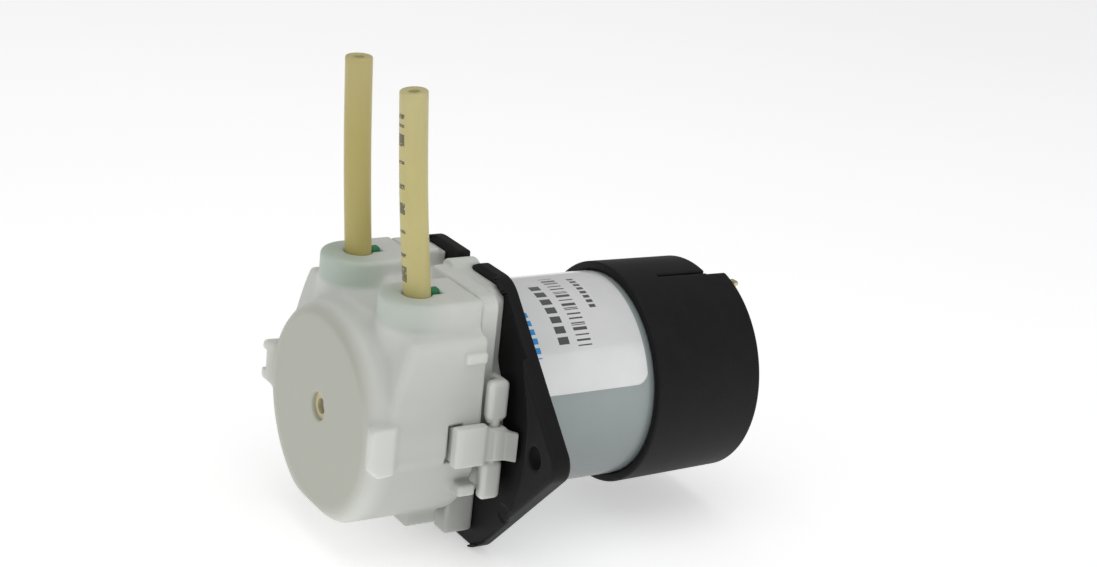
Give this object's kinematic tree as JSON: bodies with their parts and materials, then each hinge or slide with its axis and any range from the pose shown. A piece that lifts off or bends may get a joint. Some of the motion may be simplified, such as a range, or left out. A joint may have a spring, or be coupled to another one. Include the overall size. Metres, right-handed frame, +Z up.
{
  "type": "peristaltic pump",
  "caption": "Small panel-mounted peristaltic pump: roller head with a squeezed tube loop, black flange plate and brushed motor.",
  "frame": {"origin": "on the motor shaft's axis at the rear face of the mounting plate", "axes": "+Y back along the motor, +Z up along the tube legs, +X to the right when looking along +Y"},
  "size_m": [0.0622, 0.0708, 0.0713],
  "materials": {
    "black_plate": "matte moulded",
    "white_plastic": "milky, soft gloss, slightly translucent",
    "tube": "smooth beige elastomer, slightly translucent",
    "green_clip": "soft gloss",
    "cage": "satin natural resin",
    "roller": "satin",
    "steel": "ground",
    "brass": "satin",
    "can": "pale blue-grey satin coating",
    "lamination": "stacked laminations",
    "copper": "enamelled copper",
    "magnet": "ferrite",
    "carbon": "carbon",
    "black_cap": "matte moulded",
    "terminal": "tinned brass",
    "black_sleeve": "matte moulded",
    "label": "silver-white film with a plain bar pattern"
  },
  "bodies": {
    "root": {"mounting_plate": "black_plate", "head_base": "white_plastic", "head_cover": "white_plastic", "pump_tube": "tube", "tube_clip_right": "green_clip", "tube_clip_left": "green_clip", "motor_can": "can", "front_bush": "brass", "rear_bush": "brass", "magnet_right": "magnet", "magnet_left": "magnet", "magnet_clips": "steel", "brush_top": "carbon", "brush_bottom": "carbon", "end_cap": "black_cap", "terminal_top": "terminal", "terminal_bottom": "terminal", "rear_sleeve": "black_sleeve", "motor_label": "label", "motor_screws": "steel"},
    "latch_right": {"latch_right": "white_plastic"},
    "latch_left": {"latch_left": "white_plastic"},
    "armature": {"motor_shaft": "steel", "drive_sleeve": "brass", "armature_core": "lamination", "armature_windings": "copper", "commutator": "copper", "thrust_washers": "cage"},
    "rotor": {"rotor_front_plate": "cage", "rotor_rear_plate": "cage", "roller_pins": "steel"},
    "roller_1": {"roller_1": "roller"},
    "roller_2": {"roller_2": "roller"},
    "roller_3": {"roller_3": "roller"}
  },
  "joints": [
    {"name": "motor_spin", "type": "hinge", "parent": "root", "child": "armature", "pos_m": [0, 0, 0], "axis": [0, 1, 0], "continuous": true},
    {"name": "rotor_spin", "type": "hinge", "parent": "root", "child": "rotor", "pos_m": [0, 0, 0], "axis": [0, 1, 0], "continuous": true},
    {"name": "roller_1_spin", "type": "hinge", "parent": "rotor", "child": "roller_1", "pos_m": [0, 0, -0.0072], "axis": [0, 1, 0], "continuous": true},
    {"name": "roller_2_spin", "type": "hinge", "parent": "rotor", "child": "roller_2", "pos_m": [-0.00624, 0, 0.0036], "axis": [0, 1, 0], "continuous": true},
    {"name": "roller_3_spin", "type": "hinge", "parent": "rotor", "child": "roller_3", "pos_m": [0.00624, 0, 0.0036], "axis": [0, 1, 0], "continuous": true},
    {"name": "latch_right_swing", "type": "hinge", "parent": "root", "child": "latch_right", "pos_m": [0.0176, -0.0049, 0], "axis": [0, 0, 1], "range_deg": [0, 8], "stiffness_Nm_per_rad": 0.02},
    {"name": "latch_left_swing", "type": "hinge", "parent": "root", "child": "latch_left", "pos_m": [-0.0176, -0.0049, 0], "axis": [0, 0, -1], "range_deg": [0, 8], "stiffness_Nm_per_rad": 0.02}
  ],
  "couplings": [
    {"joint": "rotor_spin", "follows": "motor_spin", "ratio": 0.13889},
    {"joint": "roller_1_spin", "follows": "motor_spin", "ratio": -0.3312},
    {"joint": "roller_2_spin", "follows": "motor_spin", "ratio": -0.3312},
    {"joint": "roller_3_spin", "follows": "motor_spin", "ratio": -0.3312}
  ]
}
